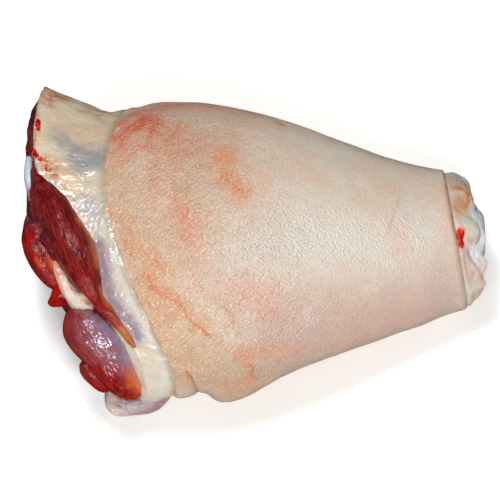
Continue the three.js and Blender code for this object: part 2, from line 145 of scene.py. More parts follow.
def leg_point(x, angle, lift=0.0):
    """A point on the leg: an ellipse round the leg's drifting middle, its half-axes lengthened by the lift.
    Shapes are in millimetres and degrees. At 0 degrees is the far side, at 90 the top, at 180 the near side
    and at 270 the underside. The tables give a place on the leg as x, angle and, where it has one, lift."""
    station = (np.asarray(x, float) - FIRST_STATION) / STATION_GAP
    a = np.radians(angle)
    return np.stack(np.broadcast_arrays(
        x,
        through(SIDE_DRIFTS, station) + (through(HALF_WIDTHS, station) + lift) * np.cos(a),
        through(CENTRE_HEIGHTS, station) + (through(HALF_HEIGHTS, station) + lift) * np.sin(a),
    ), -1)


def leg_middle(x):
    """The middle of the leg at x."""
    station = (np.asarray(x, float) - FIRST_STATION) / STATION_GAP
    return np.stack([x + 0 * station, through(SIDE_DRIFTS, station), through(CENTRE_HEIGHTS, station)], -1)


def bell(distance):
    """A hump of height 1 at 0: e to the minus distance squared."""
    return np.exp(-np.square(distance))


def turn(to, start):
    """The turn in degrees, between -180 and 180, from one angle to another."""
    return ((np.asarray(to) - start) % 360 + 540) % 360 - 180


def smooth(value, low, high):
    """0 below low, 1 above high, and 3t^2 - 2t^3 between them."""
    t = np.clip((value - low) / (high - low), 0, 1)
    return t * t * (3 - 2 * t)


def settle(z, floor):
    """Soft flesh on its floor: what would sink below lies flat, and the turn upwards is a parabola."""
    over = z - floor
    rolled = floor + (over + TABLE_ROLL) ** 2 / (4 * TABLE_ROLL)
    return np.where(over < -TABLE_ROLL, floor, np.where(over > TABLE_ROLL, z, rolled))


def rim_x(rim, angle):
    """The x of a rim: its mean plus one cosine wave for each whole number of crests round the leg."""
    return rim["mean"] + sum(reach * np.cos(np.radians((i + 1) * (angle - crest)))
                             for i, (reach, crest) in enumerate(rim["waves"]))


def mottle(points, size, seed):
    """Smooth random values from -1 to 1: numbers drawn for the corners of a lattice and blended across each
    of its boxes by a smooth cubic. The size of a box is one number, or one for each axis."""
    drawn = np.random.default_rng(seed).uniform(-1, 1, (32, 32, 32))
    place = points / np.asarray(size, float) + 100.37
    corner = np.floor(place).astype(int)
    t = place - corner
    t = t * t * (3 - 2 * t)
    total = 0
    for step in np.ndindex(2, 2, 2):
        share = np.prod(np.where(step, t, 1 - t), axis=-1)
        total = total + share * drawn[tuple(np.moveaxis((corner + step) % 32, -1, 0))]
    return total


def uneven(points, layers):
    """Relief in layers: for each height, size and seed the random values of that size, times the height."""
    return sum(height * mottle(points, size, seed) for height, size, seed in layers)


def drawn_through(path):
    """The smooth line through a path's places, as coordinates, at four steps for each place."""
    return through(np.array(path, float), np.linspace(0, len(path) - 1, 4 * len(path))).T


def nearest(points, path):
    """The distance from each point to a broken line: the point is dropped onto each of the line's legs, held
    between the leg's ends, and the shortest of the distances is kept."""
    best = np.full(points.shape[:-1], 1e9)
    for start, end in zip(path[:-1], path[1:]):
        leg = end - start
        share = np.clip((points - start) @ leg / (leg @ leg + 1e-9), 0, 1)
        best = np.minimum(best, np.linalg.norm(points - start - share[..., None] * leg, axis=-1))
    return best


def marked(points, marks, locate=leg_point, ragged=0.35):
    """How strongly marks cover each point: for each mark a soft-edged band round the smooth line through its
    places, which locate puts in space, its edge made ragged by random values, and the marks screened over
    each other."""
    bare = 1.0
    rough_edge = ragged * (mottle(points, 5, 40) + 0.6 * mottle(points, 2, 41))
    for path, radius, strength in marks:
        away = nearest(points, locate(*drawn_through(path))) + radius * rough_edge
        bare = bare * (1 - np.clip(strength * bell(np.maximum(away, 0) / radius), 0, 1))
    return 1 - bare


def push_out(rings, amount):
    """Moves each point of a grid along its normal, the cross product of the grid's two directions there."""
    around = np.roll(rings, -1, 1) - np.roll(rings, 1, 1)
    normal = np.cross(around, np.gradient(rings, axis=0))
    normal /= np.maximum(np.linalg.norm(normal, axis=-1, keepdims=True), 1e-9)
    return rings + np.asarray(amount)[..., None] * normal


def surface(name, rings, floor, finish, first_pole, last_pole, **masks):
    """A closed piece: rings of points, each joined to the next by a band of four-cornered faces, and closed
    at both ends by a fan to a pole. Masks are numbers, or triples of them, that the finish reads there."""
    rows, sides = rings.shape[:2]
    points = np.concatenate([rings.reshape(-1, 3), [first_pole, last_pole]])
    points[:, 2] = settle(points[:, 2], floor)
    points = (points + ORIGIN_SHIFT) / 1000
    this = np.arange(rows * sides).reshape(rows, sides)
    following = np.roll(this, -1, 1)
    bands = np.stack([this[:-1], following[:-1], following[1:], this[1:]], -1).reshape(-1, 4)
    pole = np.full(sides, rows * sides)
    fans = np.concatenate([np.stack([pole, following[0], this[0]], -1),
                           np.stack([pole + 1, this[-1], following[-1]], -1)])
    mesh = bpy.data.meshes.new(name)
    mesh.from_pydata(points.tolist(), [], bands.tolist() + fans.tolist())
    mesh.validate()
    mesh.shade_smooth()
    for mask, values in masks.items():
        values = np.asarray(values, float)
        width = values.shape[2:]
        flat = values.reshape((-1,) + width)
        flat = np.concatenate([flat, flat[:1], flat[-1:]])
        attribute = mesh.attributes.new(mask, "FLOAT_VECTOR" if width else "FLOAT", "POINT")
        attribute.data.foreach_set("vector" if width else "value", flat.astype(np.float32).ravel())
    piece = bpy.data.objects.new(name, mesh)
    bpy.context.scene.collection.objects.link(piece)
    mesh.materials.append(finish)
    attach(piece, "root")
    return piece


def of_flesh(piece):
    """The piece stands, with its neighbours, for the CAD solid of rind and meat, which is hidden. The piece
    is not used.
    """
    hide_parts("rind_and_meat")


def paint(red, green, blue):
    """The linear colour of a screen colour given in 0 to 255, by the screen's own curve."""
    share = np.array([red, green, blue]) / 255
    return (*np.where(share < 0.04045, share / 12.92, ((share + 0.055) / 1.055) ** 2.4), 1.0)


class Finish:
    """A material in the making. Each method adds one step to it and gives that step's result."""

    def __init__(self, name, grain=None, **shader_values):
        self.material = bpy.data.materials.new(name)
        self.material.use_nodes = True
        self.tree = self.material.node_tree
        self.shader = self.tree.nodes["Principled BSDF"]
        for socket, value in {"Subsurface_Scale": 1.0, **shader_values}.items():
            self.shader.inputs[socket.replace("_", " ")].default_value = value
        if grain:
            self.place = self.add("ShaderNodeAttribute", attribute_name=grain).outputs["Vector"]
        else:
            self.place = self.add("ShaderNodeTexCoord").outputs["Object"]

    def add(self, kind, inputs=None, **settings):
        node = self.tree.nodes.new(kind)
        for name, value in settings.items():
            setattr(node, name, value)
        for name, value in (inputs or {}).items():
            if isinstance(value, bpy.types.NodeSocket):
                self.tree.links.new(value, node.inputs[name])
            else:
                node.inputs[name].default_value = value
        return node

    def mask(self, name):
        return self.add("ShaderNodeAttribute", attribute_name=name).outputs["Fac"]

    def placed(self, stretch, turned):
        return self.add("ShaderNodeMapping", {"Vector": self.place, "Scale": [s / 1000 for s in stretch],
                        "Rotation": np.radians(turned).tolist()}, vector_type="TEXTURE").outputs[0]

    def noise(self, *stretch, detail=3.0, rough=0.55, swirl=0.0, turned=(0, 0, 0)):
        """Random cloud from 0 to 1 whose largest lumps have that size in millimetres."""
        stretch = stretch * 3 if len(stretch) == 1 else stretch
        return self.add("ShaderNodeTexNoise", {"Vector": self.placed(stretch, turned), "Scale": 1.0,
                        "Detail": detail, "Roughness": rough, "Distortion": swirl}).outputs["Fac"]

    def ridges(self, *stretch, **settings):
        """How far such a cloud is from its middle value: 0 along thin winding lines."""
        return self.maths("ABSOLUTE", self.maths("SUBTRACT", self.noise(*stretch, **settings), 0.5))

    def cells(self, *stretch, feature="F1", turned=(0, 0, 0)):
        """Distance in a pattern of cells of that size: from their middles, or from their edges."""
        stretch = stretch * 3 if len(stretch) == 1 else stretch
        return self.add("ShaderNodeTexVoronoi", {"Vector": self.placed(stretch, turned), "Scale": 1.0},
                        feature=feature).outputs["Distance"]

    def ramp(self, value, low, high, start=0.0, end=1.0):
        """Smooth step of a value from start, at low, to end, at high."""
        return self.add("ShaderNodeMapRange", {"Value": value, "From Min": low, "From Max": high,
                        "To Min": start, "To Max": end}, interpolation_type="SMOOTHSTEP").outputs[0]

    def maths(self, operation, *values):
        return self.add("ShaderNodeMath", dict(enumerate(values)), operation=operation).outputs[0]

    def times(self, *values):
        product = values[0]
        for value in values[1:]:
            product = self.maths("MULTIPLY", product, value)
        return product

    def plus(self, *values):
        total = values[0]
        for value in values[1:]:
            total = self.maths("ADD", total, value)
        return total

    def over(self, amount, under, upper):
        """The upper colour laid over the one under it by that amount. A plain colour is a screen colour."""
        under, upper = (paint(*colour) if isinstance(colour, tuple) else colour for colour in (under, upper))
        return self.add("ShaderNodeMix", {0: amount, 6: under, 7: upper}, data_type="RGBA").outputs[2]

    def tint(self, colour, mask, amount, upper):
        """The upper colour laid over another where the mask is, times an amount."""
        return self.over(self.times(self.mask(mask), amount), colour, upper)

    def bumped(self, height, depth_mm, under=None):
        inputs = {"Height": height, "Distance": depth_mm / 1000}
        if under:
            inputs["Normal"] = under
        return self.add("ShaderNodeBump", inputs).outputs[0]

    def done(self, colour, roughness, normal):
        for name, value in {"Base Color": colour, "Roughness": roughness, "Normal": normal,
                            "Coat Normal": normal}.items():
            self.tree.links.new(value, self.shader.inputs[name])
        return self.material


def rind_finish():
    f = Finish("rind", Subsurface_Weight=0.12, Subsurface_Radius=(0.004, 0.0016, 0.0009), Coat_Weight=0.6,
               Coat_Roughness=0.12, Specular_IOR_Level=0.6)
    broad, patchy = f.noise(26, detail=2), f.noise(7, detail=4, swirl=0.5)
    speck = f.noise(1.1, detail=2)
    colour = f.over(f.ramp(f.plus(f.times(broad, 0.6), f.times(patchy, 0.4)), 0.38, 0.62),
                    (222, 214, 199), (224, 201, 181))
    straw = f.over(f.ramp(f.noise(9, detail=3, swirl=0.6), 0.4, 0.6), (206, 167, 132), (206, 181, 144))
    colour = f.tint(colour, "yellowed", 0.9, straw)
    colour = f.tint(colour, "pinked", 0.85, (198, 172, 160))
    veins = f.ramp(f.ridges(6, detail=5, swirl=1.2), 0, 0.05, 1, 0)
    colour = f.over(f.times(veins, 0.2), colour, (224, 154, 124))
    # Painted highlight: the skin paler and cooler in the band where the lamps' sheen falls on its top.
    colour = f.tint(colour, "pale", 0.8, (224, 222, 213))
    blotch = f.noise(2.6, 1.2, 1.2, detail=4, turned=(0, 0, 48))
    ragged = f.ramp(f.plus(f.times(blotch, 0.7), f.times(speck, 0.3)), 0.36, 0.64, 0.45, 1.15)
    colour = f.tint(colour, "flush", ragged, (230, 140, 108))
    core = f.times(f.ramp(f.mask("flush"), 0.7, 1), f.ramp(ragged, 0.4, 1, 0.5, 1))
    colour = f.over(core, colour, (230, 90, 60))
    colour = f.tint(colour, "stain", ragged, (228, 144, 90))
    # Painted shade: the creases darkened in orange-brown, the deeper ones more.
    colour = f.tint(colour, "crease", 0.6, (184, 104, 68))
    colour = f.tint(colour, "edge", f.ramp(patchy, 0.3, 0.6, 0.4, 1), (188, 122, 84))
    pores = f.cells(0.75, feature="SMOOTH_F1")
    net = f.cells(2.4, 1.0, 1.3, feature="DISTANCE_TO_EDGE", turned=(0, 0, 40))
    dark = f.plus(f.ramp(pores, 0.2, 0.75, 0, 0.2), f.ramp(net, 0, 0.12, 0.2, 0))
    colour = f.over(f.times(dark, f.mask("worn")), colour, (186, 122, 92))
    # Painted sparkle: near-white specks over the wrinkled skin that stand in for glints of light on its
    # crinkles.
    colour = f.over(f.times(f.ramp(speck, 0.56, 0.7, 0, 0.6), f.mask("worn")), colour, (238, 228, 216))
    wrinkle = f.noise(5.5, 1.2, 2, detail=3, turned=(0, 0, 48))
    normal = f.bumped(f.times(wrinkle, f.mask("worn")), 1.0)
    grain = f.plus(f.times(pores, -1), f.times(f.ramp(net, 0, 0.2), 0.6))
    normal = f.bumped(f.times(grain, f.mask("worn")), 0.32, normal)
    normal = f.bumped(f.noise(0.7, detail=2, rough=0.6), 0.38, normal)
    scaly = f.noise(2.2, 0.9, 1.2, detail=1, turned=(0, 0, -52))
    normal = f.bumped(f.times(scaly, f.mask("pale")), 0.8, normal)
    return f.done(colour, f.ramp(speck, 0.35, 0.65, 0.32, 0.5), normal)


def rind():
    angle = np.linspace(0, 360, RIND_SIDES, endpoint=False)
    knee, hock = rim_x(KNEE_RIM, angle), rim_x(HOCK_RIM, angle)
    roll = np.radians(np.linspace(90, 0, LIP_ROWS))[:, None]
    inset, sink = LIP_ROUND * (1 - np.sin(roll)), LIP_ROUND * (1 - np.cos(roll))
    share = np.linspace(0, 1, RIND_ROWS)[1:-1, None]
    flat = knee + LIP_ROUND + share * (hock - knee - 2 * LIP_ROUND)
    x = np.concatenate([[knee, knee], knee + inset, flat, (hock - inset)[::-1], [hock, hock]])
    first, last = ([depth + 0 * knee for depth in tucks] for tucks in (KNEE_TUCKS, HOCK_TUCKS))
    lip = np.concatenate([first, -sink + 0 * knee, 0 * flat, (-sink + 0 * knee)[::-1], last])
    skin = leg_point(x, angle)
    lift = lip - RIM_DROOP["depth"] * bell((x - knee) / RIM_DROOP["length"])
    for middle, place, length, spread, height in RIND_BULGES:
        lift = lift + height * bell((x - middle) / length) * bell(turn(angle, place) / spread)
    outer = np.minimum(smooth(x - knee, 0, 4), smooth(hock - x, 0, 3))
    lift = lift + outer * uneven(skin, RIND_UNEVEN)
    worn = 0.35 + 0.65 * smooth(-x + 0.35 * turn(angle, 90), -45, 30)
    lift = lift + outer * worn * WRINKLE_HEIGHT * mottle(skin, (5, 2.4, 2.4), 3)
    lift = lift + RAGGED_LIP * (1 - smooth(x - knee, 1, 6)) * mottle(skin, 5, 4)
    crease = 0 * x
    wandering = skin + CREASE_WANDER * np.stack([mottle(skin, 6, seed) for seed in (20, 21, 22)], -1)
    for path, half_width, depth, fold in RIND_CREASES:
        along, across = drawn_through(path)
        away = nearest(wandering, leg_point(along, across))
        beside = nearest(wandering, leg_point(along + FOLD_ASIDE[0], across + FOLD_ASIDE[1]))
        lift = lift - depth * bell(away / half_width) + fold * bell(beside / FOLD_WIDTH)
        # The crease mask carries painted shade: darker where a crease is deeper.
        crease = np.maximum(crease, min(depth * CREASE_SHADE, 1) * bell(away / half_width))
    rings = leg_point(x, angle, lift)
    top = smooth(bell(turn(angle, HOCK_LINE["angle"]) / HOCK_LINE["spread"]), 0.3, 0.8)
    hock_line = bell((hock - x) / HOCK_LINE["width"]) * (0.25 + 0.75 * top)
    of_flesh(surface(
        "rind", rings, 0, rind_finish(), leg_middle(KNEE_RIM["mean"]), leg_middle(HOCK_RIM["mean"]),
        flush=marked(skin, RIND_FLUSHES), stain=marked(skin, RIND_STAINS), crease=crease,
        pale=marked(skin, RIND_PAINTED_HIGHLIGHT), yellowed=marked(skin, RIND_LOW_YELLOW),
        pinked=marked(skin, RIND_LOW_PINK), edge=np.clip(hock_line, 0, 1), worn=worn,
    ))


rind()

# ---- Knee stump
# Where the rind was trimmed back, a collar of pale fat shows, glossy with membrane, and flares at its far
# corner. It runs on under the rind, grown to the meat in it. The cut across the knee shows the ends of nine
# muscles, parted by white seams, round the bone.

MEAT_CLEARANCE = 0.4
RIND_STEP = 3.5
FAT_EDGE = {"mean": -74.7, "waves": [(24.9, -150), (4.5, -13), (2.7, 27)]}
FLARE = {"height": 13, "angle": 28, "spread": 36, "start_x": -66, "length": 30}
PARED = {"depth": 4, "angle": 130, "spread": 45, "start_x": -60, "length": 30}
SAG = {"height": 5.8, "angle": 203, "spread": 20, "x": -48.5, "length": 13}
FACE_X, FACE_SQUARENESS, SLANT, SLANT_START = -100, 4, 0.45, 4
FACE_MIDDLE = np.array([4, 46])
SLANT_DIRECTION = np.array([0.883, 0.469])
CUT_MUSCLES = np.array([
    (54, 44), (40, 68), (8, 77), (-18, 66), (-38, 44), (42, 20), (12, 15), (-16, 18), (-40, 24)])
SWELLING, SEAM_WIDTH = 3.5, 12
SEAM_GROOVE = {"depth": 0.8, "width": 1.6}
FAT_DEPTH, FAT_WAVER = 2.6, 1.6
FAT_THICKER = {"depth": 5, "angle": 250, "spread": 70}
FAT_THINNER = {"depth": 2.6, "angle": 60, "spread": 45}
COLLAR_END_X, COLLAR_POLE_X = -20, -10
RISE_TO_RIND = {"height": 1.1, "length": 6}
SHADE_BY_RIND = {"strength": 0.55, "x": -0.3, "length": 1.5}
STUMP_UNEVEN = [(0.6, 9, 32), (0.35, (6, 2.5, 2.5), 33)]
CUT_UNEVEN = [(0.3, 2.2, 34)]
STUMP_SIDES, FACE_ROWS, COLLAR_ROWS = 320, 72, 70

COLLAR_BRUISE = [
    ([(-88, 61), (-83, 64), (-76.6, 66), (-70.4, 66)], 4.5, 0.9),
    ([(-80, 70.5), (-75, 70), (-70, 69)], 4.5, 1.0), ([(-76.6, 74), (-72, 74)], 4, 0.7),
    ([(-93, 60), (-88, 60)], 3, 0.4), ([(-84, 330), (-70, 340)], 8, 0.5),
    ([(-70, 280), (-60, 300)], 8, 0.5),
]
COLLAR_BLOOD = [
    ([(-98.6, 54), (-98.6, 56), (-98.4, 57.5)], 0.9, 1.7), ([(-95, 74), (-94.6, 76)], 0.8, 0.8),
    ([(-99.9, 67), (-99.4, 68.4), (-97.8, 70.2), (-96.8, 71)], 1, 1.7), ([(-93, 71)] * 2, 0.6, 0.5),
    ([(-82, 318), (-80, 326)], 1.8, 1.4),
]
COLLAR_BROWN = [
    ([(-96, 29), (-95.8, 37), (-92, 35), (-87.8, 31)], 3.5, 0.9), ([(-96.4, 42.5), (-94.4, 43)], 2, 0.6),
    ([(-98.8, 47.5), (-99.4, 52), (-99.4, 60), (-99.4, 63.5)], 1, 0.6),
    ([(-77, 38.5), (-71.2, 37)], 4, 0.35), ([(-96, 71), (-93.5, 75), (-91, 77)], 3.2, 1.1),
    ([(-90, 72)] * 2, 1.6, 0.8), ([(-88, 81), (-86, 83)], 1.6, 0.6), ([(-85, 20), (-70, 26)], 4, 0.3),
]
COLLAR_WHITE = [
    ([(-67, 100), (-62, 116), (-56.5, 127), (-50, 137), (-45.2, 147.5), (-40.6, 160.5), (-40.6, 177),
     (-43, 192.5), (-46, 205)], 3.8, 1), ([(-53, 160), (-50, 176), (-50, 190)], 5, 0.7),
    ([(-66, 60), (-68, 75), (-68, 90)], 2.4, 0.6),
]
COLLAR_LILAC = [
    ([(-70, 108), (-68.4, 117), (-66.8, 126.5), (-62.6, 134), (-56.6, 141), (-53.5, 147)], 3.7, 1.2),
    ([(-91, 80), (-88.4, 83), (-82.8, 87), (-79.6, 92)], 1.3, 0.6), ([(-83, 66), (-84, 71)], 1.4, 0.5),
    ([(-74.4, 61.5)] * 2, 1.4, 0.4),
]
COLLAR_WET = [
    ([(-76.5, 87), (-73.6, 94.5), (-71.4, 99.5), (-68.6, 104.5)], 5, 1), ([(-84, 66), (-80, 70)], 4, 0.5),
    ([(-67.2, 112), (-64.2, 121), (-61.4, 128.5), (-56, 135), (-52, 148)], 4, 1),
]
COLLAR_MEAT = [([(-102, 72), (-100.6, 77), (-98.6, 82), (-96, 87)], 2.6, 1.4)]


def collar_point(x, angle):
    """A point on the fat under the rind's step."""
    return leg_point(x, angle, -RIND_STEP)


def stump_lift(x, angle):
    """How far the collar stands off the skin: the humps of the flare and the sag, less the pared hollow and
    the rind's step."""
    flare = FLARE["height"] * np.clip((FLARE["start_x"] - x) / FLARE["length"], 0, 1)
    pared = PARED["depth"] * smooth(PARED["start_x"] - x, 0, PARED["length"])
    sag = SAG["height"] * bell((x - SAG["x"]) / SAG["length"])
    sag = sag * bell(turn(angle, SAG["angle"]) / SAG["spread"])
    return (sag + flare * bell(turn(angle, FLARE["angle"]) / FLARE["spread"])
            - pared * bell(turn(angle, PARED["angle"]) / PARED["spread"]) - RIND_STEP)


def stump_finish():
    f = Finish("collar_and_cut", Subsurface_Weight=0.12, Subsurface_Radius=(0.004, 0.0014, 0.0008),
               Coat_Weight=0.6, Coat_Roughness=0.08, Coat_IOR=1.9, Specular_IOR_Level=0.3)
    patchy, fine = f.noise(6, detail=4, swirl=0.8), f.noise(1.2, detail=3)
    fat = f.over(f.ramp(f.noise(15, detail=2), 0.35, 0.65), (208, 195, 170), (208, 184, 154))
    fat = f.over(f.ramp(fine, 0.45, 0.75, 0, 0.3), fat, (226, 212, 188))
    fat = f.tint(fat, "wet", 0.75, (184, 178, 184))
    pale = f.over(f.ramp(patchy, 0.3, 0.7), (212, 210, 200), (202, 192, 180))
    fat = f.over(f.mask("white"), fat, pale)
    bruise = f.over(f.ramp(f.noise(4, detail=3), 0.42, 0.58), (150, 156, 148), (146, 138, 154))
    fat = f.tint(fat, "bruise", f.ramp(patchy, 0.25, 0.65, 0.5, 1), bruise)
    lilac = f.over(patchy, (134, 106, 116), (154, 140, 152))
    fat = f.tint(fat, "lilac", f.ramp(patchy, 0.2, 0.6, 0.7, 1), lilac)
    fat = f.tint(fat, "brown", f.ramp(f.noise(2.4, detail=4), 0.35, 0.6), (182, 104, 66))
    fat = f.over(f.mask("shaded"), fat, (150, 132, 104))
    bundle = f.cells(2.6, 1.7, 1.7, feature="DISTANCE_TO_EDGE")
    red = f.over(f.ramp(f.noise(9, detail=3), 0.35, 0.65), (100, 18, 24), (66, 16, 30))
    red = f.over(f.ramp(bundle, 0, 0.16, 0.4, 0), red, (134, 50, 46))
    red = f.over(f.ramp(f.ridges(8, detail=4, swirl=1.5), 0, 0.016, 0.35, 0), red, (180, 120, 106))
    seam = f.over(fine, (180, 150, 150), (212, 190, 172))
    red = f.over(f.ramp(f.mask("seam"), 0, 1, 0.85, 0), red, seam)
    colour = f.over(f.mask("meat"), fat, red)
    spilt = f.times(f.mask("blood"), f.ramp(f.noise(1.6, detail=3), 0.3, 0.5, 0.6, 1.3))
    colour = f.over(f.ramp(spilt, 0.08, 0.5, 0, 0.75), colour, (232, 112, 92))
    blood = f.over(f.ramp(fine, 0.4, 0.6), (140, 0, 4), (196, 16, 8))
    colour = f.over(f.ramp(spilt, 0.45, 0.75), colour, blood)
    normal = f.bumped(f.plus(f.times(f.noise(9, 1.1, 1.1, detail=3), 0.25), patchy), 0.7)
    glinting = f.maths("MULTIPLY_ADD", f.mask("wet"), 0.85, 0.15)
    normal = f.bumped(f.times(f.noise(2.0, detail=1.5, rough=0.4), glinting), 0.9, normal)
    return f.done(colour, f.ramp(fine, 0.3, 0.7, 0.24, 0.42), normal)


def knee_stump():
    angle = np.linspace(0, 360, STUMP_SIDES, endpoint=False)
    edge = rim_x(FAT_EDGE, angle)
    rim = leg_point(edge, angle, stump_lift(edge, angle))
    share = (np.linspace(0.02, 1, FACE_ROWS)[:, None]) ** 0.9
    flat = FACE_MIDDLE + share[..., None] * (rim[:, 1:] - FACE_MIDDLE)
    away = np.sort(np.linalg.norm(flat[:, :, None] - CUT_MUSCLES, axis=-1), axis=-1)
    wander = np.concatenate([0 * flat[..., :1], flat], -1)
    seam = (away[..., 1] - away[..., 0]) + 1.5 * mottle(wander, 6, 30)
    swell = SWELLING * smooth(away[..., 1] - away[..., 0], 0, SEAM_WIDTH) * smooth(1 - share, 0, 0.12)
    across = flat[..., 0] * SLANT_DIRECTION[0] + (flat[..., 1] - FACE_MIDDLE[1]) * SLANT_DIRECTION[1]
    cut_x = FACE_X + SLANT * settle(SLANT_START - across, 0)
    face = np.concatenate([(cut_x + (edge - cut_x) * share ** FACE_SQUARENESS - swell)[..., None], flat], -1)
    from_rim = np.linspace(0, 1, COLLAR_ROWS + 1)[1:, None]
    side_x = edge + (COLLAR_END_X - edge) * from_rim
    rim_gap_x = side_x - rim_x(KNEE_RIM, angle)
    rise = RISE_TO_RIND["height"] * bell(rim_gap_x / RISE_TO_RIND["length"])
    side = leg_point(side_x, angle, stump_lift(side_x, angle) + rise)
    rings = np.concatenate([face, side])
    on_face = np.concatenate([0 * share + 1, 0 * from_rim]) + 0 * angle
    rim_gap = np.linalg.norm(face[..., 1:] - rim[:, 1:], axis=-1)
    fat_depth = FAT_DEPTH + FAT_WAVER * mottle(wander, 12, 31)
    for sign, fat in ((1, FAT_THICKER), (-1, FAT_THINNER)):
        fat_depth = fat_depth + sign * fat["depth"] * bell(turn(angle, fat["angle"]) / fat["spread"])
    meat = np.concatenate([smooth(rim_gap, fat_depth - 0.6, fat_depth + 0.6), 0 * side_x])
    relief = (1 - 0.4 * on_face) * uneven(rings, STUMP_UNEVEN) + on_face * uneven(rings, CUT_UNEVEN)
    groove = bell(seam / SEAM_GROOVE["width"])
    relief = relief - SEAM_GROOVE["depth"] * np.concatenate([groove, 0 * side_x])
    relief[-1] = 0
    place = leg_point(np.concatenate([face[..., 0], side_x]), angle, -RIND_STEP)
    near_rim = 1 - np.concatenate([smooth(rim_gap, 2, 7), 0 * side_x])
    shade = SHADE_BY_RIND["strength"] * bell((rim_gap_x - SHADE_BY_RIND["x"]) / SHADE_BY_RIND["length"])
    meat = np.maximum(meat, smooth(marked(place, COLLAR_MEAT, collar_point), 0.3, 0.6))
    seam = np.concatenate([seam / 2.6 + 3 * bell(rim_gap / 10), 0 * side_x + 9])
    of_flesh(surface(
        "fat_collar_and_cut", push_out(rings, relief), MEAT_CLEARANCE, stump_finish(),
        face[0].mean(0), leg_middle(COLLAR_POLE_X), meat=meat, seam=seam,
        bruise=marked(place, COLLAR_BRUISE, collar_point), white=marked(place, COLLAR_WHITE, collar_point),
        lilac=marked(place, COLLAR_LILAC, collar_point), wet=marked(place, COLLAR_WET, collar_point),
        brown=near_rim * marked(place, COLLAR_BROWN, collar_point),
        shaded=np.concatenate([0 * rim_gap, shade]),
        blood=near_rim * marked(place, COLLAR_BLOOD, collar_point, 0.5),
    ))


knee_stump()

# ---- Muscles at the knee
# The ends of the leg's muscles stand out of the stump that they are grown to: soft bundles of lengthwise
# fibres in thin membrane, wet with blood, with a sinew and a torn scrap between them. A pad of gristle
# covers the joint, and a flap of fat hangs under the collar, with a painted shadow line along its top edge.

KNEE_PIECES = {  # the relief is how high the lengthwise furrows and the broad lumps are
    "long_muscle": dict(
        relief=(0.2, 0.45),
        path=[(-100.5, 69, -4), (-96.5, 77.5, -7), (-91, 87, -9), (-85.6, 98.2, -9), (-80.6, 109.4, -8.5),
              (-75.4, 121, -7.5), (-70.2, 131.6, -6), (-61.8, 141.5, -4.8), (-53.8, 154, -4.2)],
        width=[2, 4.4, 7.1, 8.4, 9.4, 7.4, 3.5, 3.2, 3], depth=[3.5, 6.5, 9, 9.5, 9.5, 8.5, 5.5, 3.5, 2.5],
        lean_x=-0.4),
    "near_muscle": dict(
        relief=(0.25, 0.9),
        path=[(-96, 68, -23), (-97.6, 92, -23.5), (-96.3, 105, -22), (-90.6, 120, -20), (-86, 129, -18)],
        width=[4, 7, 8, 7.5, 5], depth=[6, 9, 9.5, 8, 5], lean_x=-1),
    "sinew": dict(
        relief=(0.6, 1.5),
        path=[(-90.2, 111.2, -15), (-87, 118.1, -14), (-84.2, 124.9, -13.5), (-81.1, 131.2, -12.5),
              (-77, 134.7, -11.5), (-72, 136.7, -11)], width=[1.4, 2.4, 2.8, 4.6, 6, 4.5],
        depth=[2, 3.2, 3.8, 5, 6, 4.5], lean_x=-0.6),
    "scrap": dict(
        relief=(0.4, 0.9), path=[(-85, 129, -15.5), (-88.6, 134.5, -18), (-93, 141.5, -22)],
        width=[7, 5, 1.8], depth=[3, 2.4, 1], lean_x=-0.3),
    "silver_muscle": dict(
        relief=(0.1, 0.7),
        path=[(-80, 139, -17), (-78, 148.5, -13.5), (-73, 155.5, -11), (-67.5, 164.5, -9.5),
              (-62, 178, -7), (-56.6, 196, -5.5), (-51, 203, -5)], width=[8, 13.6, 13.8, 12.8, 10.5, 10, 9],
        depth=[8, 10.5, 10.5, 10, 9.5, 9, 8], lean_x=-0.6),
    "low_muscle": dict(
        relief=(0.4, 1.7),
        path=[(-77, 186, -14.5), (-74, 191, -10.5), (-71, 194, -7.5), (-67.5, 196, -4.8), (-62, 199, -4)],
        width=[4, 4.6, 5, 4.6, 3.5], depth=[4, 5, 5, 4.5, 3.5], lean_x=-0.8),
    "joint_pad": dict(
        relief=(0.05, 0.3), path=[(-101.4, 57, -9), (-102.3, 67, -8), (-102.4, 76, -8.5), (-101, 86, -11)],
        width=[1.9, 2, 2, 1.8], depth=[3, 4, 4, 3]),
    "under_flap": dict(
        relief=(0.2, 0.6), path=[(-67.4, 228, 3), (-59, 230, 5.5), (-49, 230, 4.5), (-39, 230, 1)],
        width=[17.5, 17, 15, 9], depth=[6, 7, 7, 5], facing=(0, 0.1, 1), bluntness=0.27),
}
BELLY_SIDES, BELLY_ROWS = 120, 110
